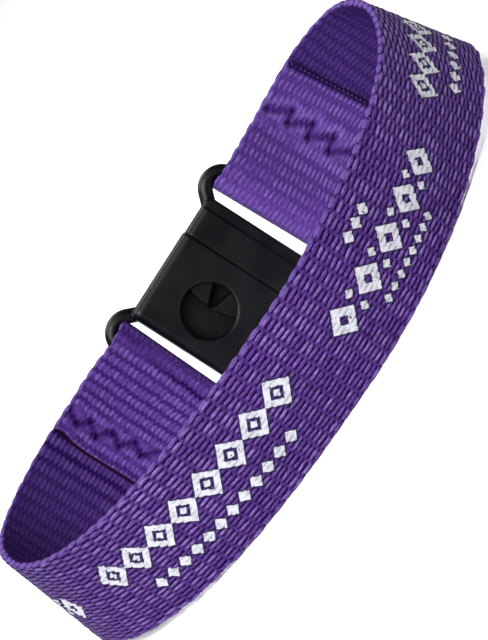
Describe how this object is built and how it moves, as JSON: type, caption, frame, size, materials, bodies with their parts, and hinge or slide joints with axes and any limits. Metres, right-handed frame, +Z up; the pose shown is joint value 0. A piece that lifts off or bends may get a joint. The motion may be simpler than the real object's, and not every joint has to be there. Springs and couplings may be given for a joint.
{
  "type": "woven fabric wristband",
  "caption": "Purple flat-woven fabric wristband with a black snap clasp, closed into a loop and lying on its edge; worn round a wrist",
  "frame": {"origin": "middle of the footprint, on the surface that the wristband lies on", "axes": "+X along the loop's longer way, from the clasp's socket to its plug; +Y from the front of the loop to the clasp; +Z up, along the strap's width and the wrist's axis"},
  "size_m": [0.0855, 0.0464, 0.0196],
  "materials": {
    "woven_polyester": "flat-woven purple polyester strap with a plain white printed pattern outside",
    "black_plastic": "moulded black acetal, satin"
  },
  "bodies": {
    "root": {"band": "woven_polyester", "clasp_socket": "black_plastic", "clasp_plug": "black_plastic"}
  },
  "joints": []
}
